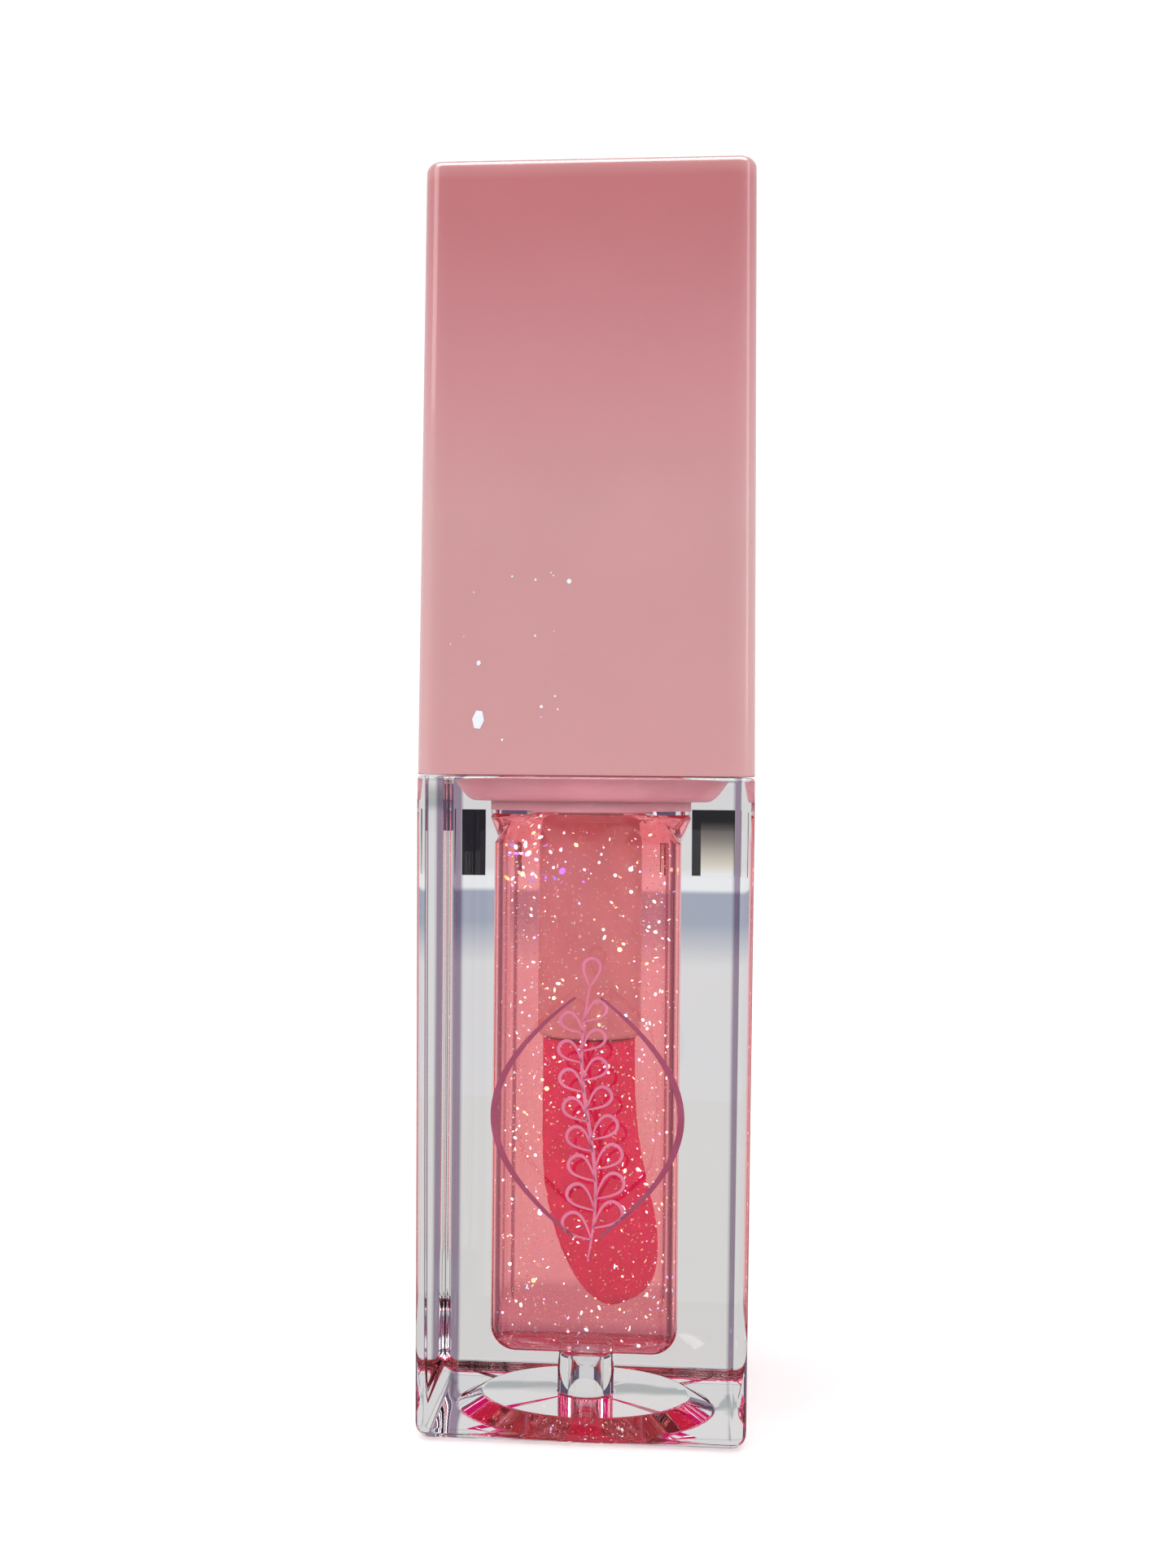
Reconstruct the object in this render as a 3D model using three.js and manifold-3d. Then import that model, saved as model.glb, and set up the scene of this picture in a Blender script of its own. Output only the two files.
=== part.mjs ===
// A square lip gloss tube: a thick-walled clear bottle with a square chamber full of gloss, and a
// tall square cap that carries a stem and a flocked paddle down into the gloss. The cap screws onto
// the bottle's neck. A wiper pressed into the neck scrapes the stem as it is drawn out.
//
// Millimetres, +Z up. The origin is the middle of the base, and -Y is the front of the tube.
import * as THREE from "three";
import { mergeVertices } from "three/addons/utils/BufferGeometryUtils.js";
import Module from "manifold-3d";

const wasm = await Module();
wasm.setup();

// ---------- Driving dimensions ----------

// The square outline is widest where cap and bottle meet, and both draft in towards their far ends.
const JOINT_HALF = 10.2;
const END_HALF = 10.0;
const BODY_HEIGHT = 40.0;
const CAP_GAP = 0.2;
const CAP_HEIGHT = 37.1;
const BODY_CORNER = 0.9;
const CAP_CORNER = 1.1;

// Bottle
const BASE_EDGE = 0.9;
const SHOULDER_EDGE = 0.25;
const CHAMBER_HALF = 5.8;
const CHAMBER_CORNER = 1.6;
const FLOOR_Z = 4.4;
const CHAMBER_TOP = 36.0; // above it the chamber turns into the neck's round bore
const BORE_Z = 37.5;
const BORE_RADIUS = 6.4;
const NECK_RADIUS = 7.4;
const NECK_HEIGHT = 11.0;
const DISH_RADIUS = 8.9;
const DISH_DEPTH = 1.5;
const DISH_TURN_RADIUS = 7.95; // where the dish's wall and its floor would meet if they were straight
const RECESS_RADIUS = 6.6; // of the recess's flat ceiling
const RECESS_RIM_RADIUS = 8.2;
const RECESS_DEPTH = 0.9;
const GATE_RADIUS = 1.8;
const GATE_TOP = 3.7;

// Screw thread, right-handed
const THREAD_LEAD = 2.8;
const THREAD_TURNS = 1.04;
const THREAD_DEPTH = 0.7;
const THREAD_ROOT_WIDTH = 1.2;
const THREAD_CREST_WIDTH = 0.6;
const THREAD_START_Z = 43.6;
const THREAD_DROP = 0.9; // how far the cap's thread sits under the neck's
const CAP_THREAD_ROOT = 8.35;
const CAP_THREAD_CREST = 7.65;

// Wiper, washer and gloss
const SLIP = 0.05; // radial gap between pieces that fit one inside another
const WIPER_WALL = 0.85;
const WIPER_END_Z = 37.9;
const WIPER_FLANGE = 0.95;
const WASHER_THICKNESS = 0.8;
const GLOSS_TOP = 37.8;
const GLOSS_CLEARANCE = 0.15;

// Wand
const STEM_RADIUS = 3.3;
const STEM_END_Z = 23.6;
const STEM_PLUG_RADIUS = 2.2;
const SPIGOT_RADIUS = 1.4;
const SPIGOT_LENGTH = 5.4;
const FLOCK_THICKNESS = 0.4;

// Cap
const CAP_TOP_EDGE = 0.6;
const CAP_RIM_EDGE = 0.15;
const CAP_WALL = 1.15;
const CAP_ROOF = 1.5;
const INSERT_RADIUS = 8.85;
const INSERT_PLATE = 1.0;
const INSERT_ROOF = 1.2;
const SOCKET_RADIUS = 4.0;
const SOCKET_HEIGHT = 5.8;
const FIN_THICKNESS = 0.9;
const FIN_REACH = 11.8;

// Facets
const ROUND_SEGMENTS = 48;
const CORNER_STEPS = 4;
const EDGE_STEPS = 4;
const PADDLE_POINTS = 24;
const PADDLE_RINGS = 14;
const RIB_STEP = Math.PI / 18;

// Levels that follow from the dimensions above
const NECK_TOP = BODY_HEIGHT + NECK_HEIGHT;
const WIPER_TOP = NECK_TOP + SLIP + WIPER_FLANGE;
const WASHER_Z = WIPER_TOP + 0.1;
const ROOF_Z = WASHER_Z + WASHER_THICKNESS + 0.1;
const CAP_Z = BODY_HEIGHT + CAP_GAP;
const CAP_TOP = CAP_Z + CAP_HEIGHT;
const INSERT_Z = CAP_Z + 0.4;
const PLATE_HALF = JOINT_HALF - CAP_WALL - 0.1;

// ---------- Solids ----------

// A closed geometry as a solid that can be joined and cut.
function solid(geometry) {
  const bare = new THREE.BufferGeometry();
  bare.setAttribute("position", geometry.getAttribute("position"));
  bare.setIndex(geometry.index);
  const merged = mergeVertices(bare, 1e-4);
  const corners = merged.index.array;
  const triangles = [];
  for (let i = 0; i < corners.length; i += 3) {
    const [a, b, c] = corners.slice(i, i + 3);
    if (a !== b && b !== c && c !== a) triangles.push(a, b, c);
  }
  const mesh = (triVerts) =>
    new wasm.Mesh({
      numProp: 3,
      vertProperties: merged.attributes.position.array,
      triVerts: new Uint32Array(triVerts),
    });
  const made = new wasm.Manifold(mesh(triangles));
  return made.volume() > 0 ? made : new wasm.Manifold(mesh(triangles.reverse()));
}

// A solid as a geometry that a mesh can hold.
function geometryOf(made) {
  const { numProp, numVert, vertProperties, triVerts } = made.getMesh();
  const points = new Float32Array(numVert * 3);
  for (let i = 0; i < numVert; i++) {
    points.set(vertProperties.subarray(i * numProp, i * numProp + 3), i * 3);
  }
  const geometry = new THREE.BufferGeometry();
  geometry.setAttribute("position", new THREE.BufferAttribute(points, 3));
  geometry.setIndex(new THREE.BufferAttribute(triVerts, 1));
  geometry.computeVertexNormals();
  return geometry;
}

// A profile of [radius, z] points turned about the Z axis. It starts and ends on the axis, or is a
// closed loop when ring is true.
function turned(profile, ring = false) {
  const points = profile.map(([radius, z]) => new THREE.Vector2(radius, z));
  if (ring) points.push(points[0].clone());
  return solid(new THREE.LatheGeometry(points, ROUND_SEGMENTS).rotateX(Math.PI / 2));
}

// A plain disc or cylinder on the Z axis.
function cylinder(radius, low, high) {
  return turned([[0, low], [radius, low], [radius, high], [0, high]]);
}

// A closed skin over a row of convex loops that all have the same number of points.
function skin(loops) {
  const count = loops[0].length;
  const last = loops.length - 1;
  const index = [];
  for (let i = 0; i < last; i++) {
    for (let j = 0; j < count; j++) {
      const next = (j + 1) % count;
      const [a, b] = [i * count + j, i * count + next];
      index.push(a, b, b + count, a, b + count, a + count);
    }
  }
  for (let j = 1; j < count - 1; j++) {
    index.push(0, j + 1, j, last * count, last * count + j, last * count + j + 1);
  }
  const geometry = new THREE.BufferGeometry().setFromPoints(loops.flat());
  geometry.setIndex(index);
  return solid(geometry);
}

// A square loop with round corners, level at z.
function squareLoop(half, corner, z) {
  const loop = [];
  for (let quarter = 0; quarter < 4; quarter++) {
    const middle = (quarter + 0.5) * (Math.PI / 2);
    const reach = (half - corner) * Math.SQRT2;
    for (let step = 0; step <= CORNER_STEPS; step++) {
      const turn = (quarter + step / CORNER_STEPS) * (Math.PI / 2);
      loop.push(
        new THREE.Vector3(
          reach * Math.cos(middle) + corner * Math.cos(turn),
          reach * Math.sin(middle) + corner * Math.sin(turn),
          z,
        ),
      );
    }
  }
  return loop;
}

// A square block between two levels whose half width drafts from one end to the other, with its
// bottom and top edges rounded.
function squareBlock({ low, high, lowHalf, highHalf, corner, lowEdge = 0, highEdge = 0 }) {
  const halfAt = (z) => THREE.MathUtils.mapLinear(z, low, high, lowHalf, highHalf);
  const rounded = (edge, at) =>
    Array.from({ length: edge ? EDGE_STEPS + 1 : 1 }, (_, step) => {
      const turn = (step / EDGE_STEPS) * (Math.PI / 2);
      return { z: at + edge * (1 - Math.sin(turn)), inset: edge * (1 - Math.cos(turn)) };
    });
  const bottom = rounded(lowEdge, 0).map(({ z, inset }) => ({ z: low + z, inset }));
  const top = rounded(highEdge, 0).map(({ z, inset }) => ({ z: high - z, inset }));
  return skin(
    [...bottom.reverse(), ...top].map(({ z, inset }) =>
      squareLoop(halfAt(z) - inset, Math.max(corner - inset, 0.05), z),
    ),
  );
}

// A quarter of a circle from one [radius, z] point to another, about the given centre.
function fillet([centreRadius, centreZ], radius, from, to) {
  return Array.from({ length: EDGE_STEPS + 1 }, (_, step) => {
    const turn = THREE.MathUtils.lerp(from, to, step / EDGE_STEPS);
    return [centreRadius + radius * Math.cos(turn), centreZ + radius * Math.sin(turn)];
  });
}

// A screw thread's rib from a root radius to a crest radius, one radius either way round. Its first
// and last steps sink into the root so that the rib runs out.
function threadRib(root, crest, startZ) {
  const steps = Math.round((THREAD_TURNS * 2 * Math.PI) / RIB_STEP);
  const buried = root + Math.sign(root - crest) * 0.3;
  const loops = [];
  for (let i = 0; i <= steps; i++) {
    const turn = i * RIB_STEP;
    const z = startZ + (THREAD_LEAD * turn) / (2 * Math.PI);
    const runOut = Math.min(1, i / 3, (steps - i) / 3);
    const reach = THREE.MathUtils.lerp(root, crest, Math.max(runOut, 0.05));
    const [wide, narrow] = [THREAD_ROOT_WIDTH / 2, THREAD_CREST_WIDTH / 2];
    const section = [
      [buried, -wide],
      [root, -wide],
      [reach, -narrow],
      [reach, narrow],
      [root, wide],
      [buried, wide],
    ];
    loops.push(
      section.map(
        ([radius, rise]) =>
          new THREE.Vector3(radius * Math.cos(turn), radius * Math.sin(turn), z + rise),
      ),
    );
  }
  return skin(loops);
}

// ---------- Bottle side ----------

// The room inside the bottle up to the neck, shrunk by a gap all round.
function chamber(gap = 0) {
  const half = CHAMBER_HALF - gap;
  const corner = CHAMBER_CORNER - gap;
  const radius = BORE_RADIUS - gap;
  const floorEdge = fillet([half - corner, FLOOR_Z + gap + corner], corner, -Math.PI / 2, 0);
  return skin([
    ...floorEdge.map(([reach, z]) => squareLoop(reach, Math.max(corner - half + reach, 0.05), z)),
    squareLoop(half, corner, CHAMBER_TOP),
    squareLoop(radius, radius, BORE_Z),
  ]);
}

function bottle() {
  const block = squareBlock({
    low: 0,
    high: BODY_HEIGHT,
    lowHalf: END_HALF,
    highHalf: JOINT_HALF,
    corner: BODY_CORNER,
    lowEdge: BASE_EDGE,
    highEdge: SHOULDER_EDGE,
  });
  // The shoulder is dished round the neck.
  const dishFloor = BODY_HEIGHT - DISH_DEPTH;
  const dish = new THREE.QuadraticBezierCurve(
    new THREE.Vector2(NECK_RADIUS, dishFloor),
    new THREE.Vector2(DISH_TURN_RADIUS, dishFloor),
    new THREE.Vector2(DISH_RADIUS, BODY_HEIGHT),
  ).getPoints(EDGE_STEPS);
  const moat = turned(
    [
      ...dish.map(({ x, y }) => [x, y]),
      [DISH_RADIUS, BODY_HEIGHT + 1],
      [NECK_RADIUS, BODY_HEIGHT + 1],
    ],
    true,
  );
  const neck = cylinder(NECK_RADIUS, BODY_HEIGHT - 2 * DISH_DEPTH, NECK_TOP);
  const bore = cylinder(BORE_RADIUS, BORE_Z - 0.3, NECK_TOP + 1);
  // Under the base, a round recess with a sloping rim, and the sunken gate at its middle.
  const recess = turned([
    [0, -1],
    [RECESS_RIM_RADIUS, -1],
    [RECESS_RIM_RADIUS, 0],
    [RECESS_RADIUS, RECESS_DEPTH],
    [0, RECESS_DEPTH],
  ]);
  const gate = turned([
    [0, 0],
    [GATE_RADIUS, 0],
    ...fillet([GATE_RADIUS - 0.5, GATE_TOP - 0.5], 0.5, 0, Math.PI / 2),
    [0, GATE_TOP],
  ]);
  return block
    .subtract(moat)
    .add(neck)
    .add(threadRib(NECK_RADIUS, NECK_RADIUS + THREAD_DEPTH, THREAD_START_Z))
    .subtract(chamber())
    .subtract(bore)
    .subtract(recess)
    .subtract(gate);
}

// A flange on the neck's rim, a barrel down the bore, and a thin funnel that closes on the stem.
function wiper() {
  const outer = BORE_RADIUS - SLIP;
  const inner = outer - WIPER_WALL;
  const lip = STEM_RADIUS + GLOSS_CLEARANCE;
  return turned(
    [
      [outer, WIPER_END_Z],
      [outer, NECK_TOP + SLIP],
      [NECK_RADIUS - SLIP, NECK_TOP + SLIP],
      [NECK_RADIUS - SLIP, WIPER_TOP],
      [inner, WIPER_TOP],
      [inner, WIPER_END_Z + 4.1],
      [lip, WIPER_END_Z + 1.1],
      [lip, WIPER_END_Z + 0.5],
      [lip + 0.3, WIPER_END_Z + 0.5],
      [inner, WIPER_END_Z + 3.2],
      [inner, WIPER_END_Z],
    ],
    true,
  );
}

function gloss() {
  const fill = chamber(SLIP).add(cylinder(BORE_RADIUS - SLIP, BORE_Z - 0.3, GLOSS_TOP));
  const stemHole = cylinder(
    STEM_RADIUS + GLOSS_CLEARANCE,
    STEM_END_Z - GLOSS_CLEARANCE,
    GLOSS_TOP + 1,
  );
  return fill.subtract(stemHole).subtract(paddle(GLOSS_CLEARANCE));
}

// ---------- Wand ----------

// A loose ring round the stem that seals the wiper's flange against the cap.
function sealWasher() {
  const [inner, outer] = [STEM_RADIUS + 0.2, NECK_RADIUS - 0.2];
  const top = WASHER_Z + WASHER_THICKNESS;
  return turned([[inner, WASHER_Z], [outer, WASHER_Z], [outer, top], [inner, top]], true);
}

function stem() {
  const plugTop = ROOF_Z + INSERT_ROOF + SOCKET_HEIGHT - 0.6;
  return turned([
    [0, STEM_END_Z + SPIGOT_LENGTH + 0.2],
    [SPIGOT_RADIUS + SLIP, STEM_END_Z + SPIGOT_LENGTH + 0.2],
    [SPIGOT_RADIUS + SLIP, STEM_END_Z],
    [STEM_RADIUS - 0.25, STEM_END_Z],
    [STEM_RADIUS, STEM_END_Z + 0.25],
    [STEM_RADIUS, ROOF_Z - 0.1],
    [STEM_PLUG_RADIUS, ROOF_Z - 0.1],
    [STEM_PLUG_RADIUS, plugTop - 0.4],
    [STEM_PLUG_RADIUS - 0.4, plugTop],
    [0, plugTop],
  ]);
}

// The paddle's outline at a few levels from the stem down to the tip: how far it reaches to the left,
// right, front and back. It leans to the right, and its front slants back like a deer's hoof.
const PADDLE_LEVELS = [
  { z: 23.45, left: -2.95, right: 2.95, front: -2.75, back: 2.75 },
  { z: 18.8, left: -2.95, right: 3.05, front: -2.5, back: 2.7 },
  { z: 14.6, left: -2.85, right: 3.7, front: -1.95, back: 2.6 },
  { z: 11.2, left: -2.2, right: 4.55, front: -1.3, back: 2.35 },
  { z: 8.7, left: -1.2, right: 4.5, front: -0.7, back: 1.95 },
  { z: 7.1, left: -0.1, right: 3.6, front: -0.2, back: 1.5 },
  { z: 6.3, left: 1.0, right: 2.1, front: 0.35, back: 0.9 },
];

// The paddle as a solid, grown by a distance all round, with its top at the given level.
function paddle(grow, top = PADDLE_LEVELS[0].z + grow) {
  const through = (x, y, way) =>
    new THREE.CatmullRomCurve3(
      PADDLE_LEVELS.map((level) => new THREE.Vector3(level[x], level[y], level.z)),
      false,
      way,
    );
  const sides = through("left", "right", "centripetal");
  const faces = through("front", "back", "centripetal");
  const loops = [];
  for (let i = 0; i <= PADDLE_RINGS; i++) {
    const [side, face] = [sides, faces].map((curve) => curve.getPoint(1 - i / PADDLE_RINGS));
    const isTip = i === 0;
    const isTop = i === PADDLE_RINGS;
    const z = isTop ? top : side.z - (isTip ? grow : 0);
    const [left, right] = [side.x - grow, side.y + grow];
    const [front, back] = [face.x - grow, face.y + grow];
    const loop = [];
    for (let j = 0; j < PADDLE_POINTS; j++) {
      const turn = (j / PADDLE_POINTS) * 2 * Math.PI;
      loop.push(
        new THREE.Vector3(
          (left + right) / 2 + ((right - left) / 2) * Math.cos(turn),
          (front + back) / 2 + ((back - front) / 2) * Math.sin(turn),
          z,
        ),
      );
    }
    loops.push(loop);
  }
  return skin(loops);
}

// The paddle's soft core, with a spigot that is pressed up into the stem.
function applicatorCore() {
  const top = PADDLE_LEVELS[0].z;
  const spigot = cylinder(SPIGOT_RADIUS, top - 1, STEM_END_Z + SPIGOT_LENGTH);
  return paddle(-FLOCK_THICKNESS - SLIP, top).add(spigot);
}

// The coat of short fibres round the core, open at the top.
function applicatorFlock() {
  return paddle(0).subtract(paddle(-FLOCK_THICKNESS, PADDLE_LEVELS[0].z + 1));
}

// ---------- Cap ----------

// The round threaded insert, with a square plate and four fins that key it into the outer cap.
function innerCap() {
  const socketTop = ROOF_Z + INSERT_ROOF + SOCKET_HEIGHT;
  const hole = STEM_PLUG_RADIUS + SLIP;
  const cup = turned(
    [
      [CAP_THREAD_ROOT, INSERT_Z],
      [INSERT_RADIUS, INSERT_Z],
      [INSERT_RADIUS, ROOF_Z + INSERT_ROOF],
      [SOCKET_RADIUS, ROOF_Z + INSERT_ROOF],
      [SOCKET_RADIUS, socketTop],
      [hole, socketTop],
      [hole, ROOF_Z],
      [CAP_THREAD_ROOT, ROOF_Z],
    ],
    true,
  );
  const plate = squareBlock({
    low: INSERT_Z,
    high: INSERT_Z + INSERT_PLATE,
    lowHalf: PLATE_HALF,
    highHalf: PLATE_HALF,
    corner: 0.7,
  }).subtract(cylinder(CAP_THREAD_ROOT, INSERT_Z - 1, INSERT_Z + INSERT_PLATE + 1));
  const finInner = CAP_THREAD_ROOT + 0.2;
  const finHeight = ROOF_Z - INSERT_Z - INSERT_PLATE;
  const fins = [0, 1, 2, 3].map((quarter) =>
    solid(
      new THREE.BoxGeometry(FIN_REACH - finInner, FIN_THICKNESS, finHeight)
        .translate((FIN_REACH + finInner) / 2, 0, INSERT_Z + INSERT_PLATE / 2 + finHeight / 2)
        .rotateZ((quarter + 0.5) * (Math.PI / 2)),
    ),
  );
  const thread = threadRib(CAP_THREAD_ROOT, CAP_THREAD_CREST, THREAD_START_Z - THREAD_DROP);
  return [plate, ...fins, thread].reduce((made, piece) => made.add(piece), cup);
}

// The tall square shell, open below.
function outerCap() {
  const shell = squareBlock({
    low: CAP_Z,
    high: CAP_TOP,
    lowHalf: JOINT_HALF,
    highHalf: END_HALF,
    corner: CAP_CORNER,
    lowEdge: CAP_RIM_EDGE,
    highEdge: CAP_TOP_EDGE,
  });
  const inside = squareBlock({
    low: CAP_Z - 1,
    high: CAP_TOP - CAP_ROOF,
    lowHalf: JOINT_HALF - CAP_WALL,
    highHalf: END_HALF - CAP_WALL,
    corner: 0.6,
  });
  return shell.subtract(inside);
}

// ---------- Assembly ----------

const clearPlastic = { color: 0xeef2f4, roughness: 0.03, metalness: 0 };
const milkyPlastic = { color: 0xf1dfe0, roughness: 0.4, metalness: 0 };
const pinkGloss = { color: 0xdc6a72, roughness: 0.1, metalness: 0 };
const pinkPlastic = { color: 0xdc9399, roughness: 0.12, metalness: 0 };
const stemPlastic = { color: 0xe59a9c, roughness: 0.3, metalness: 0 };
const hotPink = { color: 0xdd2350, roughness: 0.9, metalness: 0 };
const foam = { color: 0xf4f1ee, roughness: 0.8, metalness: 0 };

const PIECES = [
  ["bottle", bottle, clearPlastic],
  ["wiper", wiper, milkyPlastic],
  ["gloss", gloss, pinkGloss],
  ["seal_washer", sealWasher, foam],
  ["wand_stem", stem, stemPlastic],
  ["applicator_core", applicatorCore, hotPink],
  ["applicator_flock", applicatorFlock, hotPink],
  ["inner_cap", innerCap, pinkPlastic],
  ["outer_cap", outerCap, pinkPlastic],
];

const tube = new THREE.Group();
for (const [name, make, look] of PIECES) {
  const mesh = new THREE.Mesh(geometryOf(make()), new THREE.MeshStandardMaterial(look));
  mesh.name = name;
  tube.add(mesh);
}

export default tube;
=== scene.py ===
import math
import random

import bpy
from mathutils import Matrix, Vector, noise


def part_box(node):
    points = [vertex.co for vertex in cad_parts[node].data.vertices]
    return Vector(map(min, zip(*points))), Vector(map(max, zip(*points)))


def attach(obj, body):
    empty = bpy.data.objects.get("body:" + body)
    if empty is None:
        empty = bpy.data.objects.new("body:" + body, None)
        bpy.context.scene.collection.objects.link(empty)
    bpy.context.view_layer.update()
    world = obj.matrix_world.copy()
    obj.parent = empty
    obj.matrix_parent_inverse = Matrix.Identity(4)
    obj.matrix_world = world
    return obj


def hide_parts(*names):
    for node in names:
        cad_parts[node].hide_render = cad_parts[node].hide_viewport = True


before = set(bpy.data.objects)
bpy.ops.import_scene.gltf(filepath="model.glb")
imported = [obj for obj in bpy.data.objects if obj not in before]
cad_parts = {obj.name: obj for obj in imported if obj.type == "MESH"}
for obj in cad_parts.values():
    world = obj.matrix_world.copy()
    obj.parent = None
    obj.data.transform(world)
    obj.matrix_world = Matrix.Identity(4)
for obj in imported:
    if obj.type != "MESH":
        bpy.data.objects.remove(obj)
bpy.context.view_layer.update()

# Shapes and places are worked out in millimetres, and become metres where Blender gets them.
MM = 0.001


def box_mm(node):
    low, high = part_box(node)
    return low / MM, high / MM


# ---------- Dimensions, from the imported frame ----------

_, bottle_high = box_mm("bottle")
cap_low, cap_high = box_mm("outer_cap")
gloss_low, gloss_high = box_mm("gloss")
wiper_low, wiper_high = box_mm("wiper")
washer_low, washer_high = box_mm("seal_washer")
stem_low, stem_high = box_mm("wand_stem")
insert_low, insert_high = box_mm("inner_cap")

JOINT_HALF = bottle_high.x  # half the width where cap and bottle meet
NECK_TOP = bottle_high.z
STEM_RADIUS = stem_high.x

# ---------- Dimensions that the boxes don't give ----------

END_HALF = 10.0  # half the width at the base and at the cap's top
CAP_GAP = 0.06  # the seam under the closed cap
SHOULDER_Z = cap_low.z - CAP_GAP
BODY_CORNER = 0.9
BASE_EDGE = 0.9
SHOULDER_EDGE = 0.25
BORE_RADIUS = gloss_high.x + 0.05
CHAMBER_HALF = 5.8
CHAMBER_CORNER = 1.6
FLOOR_Z = gloss_low.z - 0.05
CHAMBER_TOP = 36.0
BORE_Z = 37.5
NECK_RADIUS = 7.4
DISH_RADIUS = 8.9
DISH_DEPTH = 1.5
RECESS_RADIUS = 6.6  # of the flat ceiling, inside the sloping rim
RECESS_DEPTH = 0.9
RECESS_RIM = 1.6
GATE_RADIUS = 1.8
GATE_TOP = 3.7
GATE_EDGE = 0.5
NECK_EDGE = 0.2
BORE_EDGE = 0.15
MENISCUS_WIDTH = 0.7
MENISCUS_RISE = 0.25
FILM_THICKNESS = 0.12
INTO_WALL = 0.02  # how far the gloss, its film and the wiper reach into the plastic

THREAD_LEAD = 2.8
THREAD_TURNS = 1.04
THREAD_DEPTH = 0.7
THREAD_ROOT_WIDTH = 1.2
THREAD_CREST_WIDTH = 0.6
THREAD_RUN_OUT = 12  # the rib rises and ends over a twelfth of a turn
THREAD_START_Z = 43.6
THREAD_DROP = 0.9
CAP_THREAD_ROOT = 8.35
CAP_RISE = 3.2  # how far the cap climbs as it unscrews

CAP_CORNER = 1.1
CAP_TOP_EDGE = 0.6
CAP_RIM_EDGE = 0.1
CAP_WALL = 1.15
CAP_ROOF = 1.5
CAP_CEILING_EDGE = 0.5
CAP_INNER_CORNER = 0.65
INSERT_RADIUS = 8.85
INSERT_PLATE = 1.0
INSERT_ROOF = 1.2
SOCKET_RADIUS = 4.0
FIN_THICKNESS = 0.9
FIN_REACH = 11.8
ROOF_Z = washer_high.z + 0.1
PLUG_RADIUS = 2.2
SPIGOT_RADIUS = 1.45  # of the core's end that sits in the stem
SPIGOT_LENGTH = 5.5
FLOCK_THICKNESS = 0.42
FLOCK_LUMP = 0.05
CORE_SHARE = 0.94  # how far down the paddle its core reaches, as a share of its length
TIP_ROUND = 0.12  # from the paddle's last level to its end

# The printed mark on the front
FRAME_X = 0.35
FRAME_BOW = 5.6
FRAME_TOP = 27.4
FRAME_DROP = 15.2
FRAME_LINE = 0.4
SPRIG_LOW = 11.2
SPRIG_HIGH = 27.6
SPRIG_PAIRS = 8
SPRIG_LINE = 0.2
LEAF_LENGTH = 2.1
LEAF_SHRINK = 0.07  # from each pair to the next
LEAF_STAGGER = 0.35
LEAF_LEAN = 0.85  # radians from straight up
PRINT_GAP = 0.002  # from the face to the ink

# The glitter
WALL_CLEARANCE = 0.25
FLOOR_CLEARANCE = 0.4
SURFACE_CLEARANCE = 0.6
CORNER_REACH = 1.25  # towards a corner, as a share of the reach towards a side
WAND_CLEARANCE = 0.3
FLAKE_THICKNESS = 0.012
FRONT_SHARE = 0.2  # of the flakes, that lie right behind the front wall
FRONT_HALF = 4.8
FRONT_DEPTH = 1.6
CROWD_DROP = 4.2  # from the gloss's top to the lowest flake of the crowd
CROWD_WIDTH = 4.2
CROWD_DEPTH = 1.2

# ---------- Facets ----------

CORNER_STEPS = 8
SIDE_STEPS = 20
EDGE_STEPS = 6
ROUND_STEPS = 96


# ---------- Loops and skins ----------


def square_loop(half, corner, z):
    """A level square loop with round corners. Every such loop has the same number of points."""
    loop = []
    for quarter in range(4):
        turn = Matrix.Rotation(quarter * math.pi / 2, 3, "Z")
        middle = half - corner
        for step in range(CORNER_STEPS + 1):
            angle = math.pi / 2 * step / CORNER_STEPS
            loop.append(
                turn @ Vector((middle + corner * math.cos(angle), middle + corner * math.sin(angle), z))
            )
        for step in range(1, SIDE_STEPS):
            loop.append(turn @ Vector((middle * (1 - 2 * step / SIDE_STEPS), half, z)))
    return loop


# The directions of a square loop's points, so that a round loop can be joined to a square one.
SQUARE_BEARINGS = [math.atan2(p.y, p.x) for p in square_loop(10, 1, 0)]
EVEN_BEARINGS = [2 * math.pi * i / ROUND_STEPS for i in range(ROUND_STEPS)]


def round_loop(radius, z, bearings=EVEN_BEARINGS):
    return [Vector((radius * math.cos(a), radius * math.sin(a), z)) for a in bearings]


def arc(centre_radius, centre_z, radius, start, end, steps=EDGE_STEPS):
    """Points of (radius, z) along an arc, from one angle to another in degrees."""
    angles = [math.radians(start + (end - start) * i / steps) for i in range(steps + 1)]
    return [(centre_radius + radius * math.cos(a), centre_z + radius * math.sin(a)) for a in angles]


def skin(loops, ring=False):
    """Vertices and faces over loops of equal size. A loop of one point closes an end."""
    vertices = [p for loop in loops for p in loop]
    starts = [0]
    for loop in loops:
        starts.append(starts[-1] + len(loop))
    faces = []
    for i in range(len(loops) if ring else len(loops) - 1):
        k = (i + 1) % len(loops)
        (a, na), (b, nb) = (starts[i], len(loops[i])), (starts[k], len(loops[k]))
        for j in range(max(na, nb)):
            n = (j + 1) % max(na, nb)
            if na == 1:
                faces.append((a, b + n, b + j))
            elif nb == 1:
                faces.append((a + j, a + n, b))
            else:
                faces.append((a + j, a + n, b + n, b + j))
    return vertices, faces


def turned(profile, ring=False):
    """A skin over a profile of (radius, z) points turned about the Z axis."""
    loops = [
        round_loop(radius, z) if radius > 1e-6 else [Vector((0, 0, z))] for radius, z in profile
    ]
    return skin(loops, ring)


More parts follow.
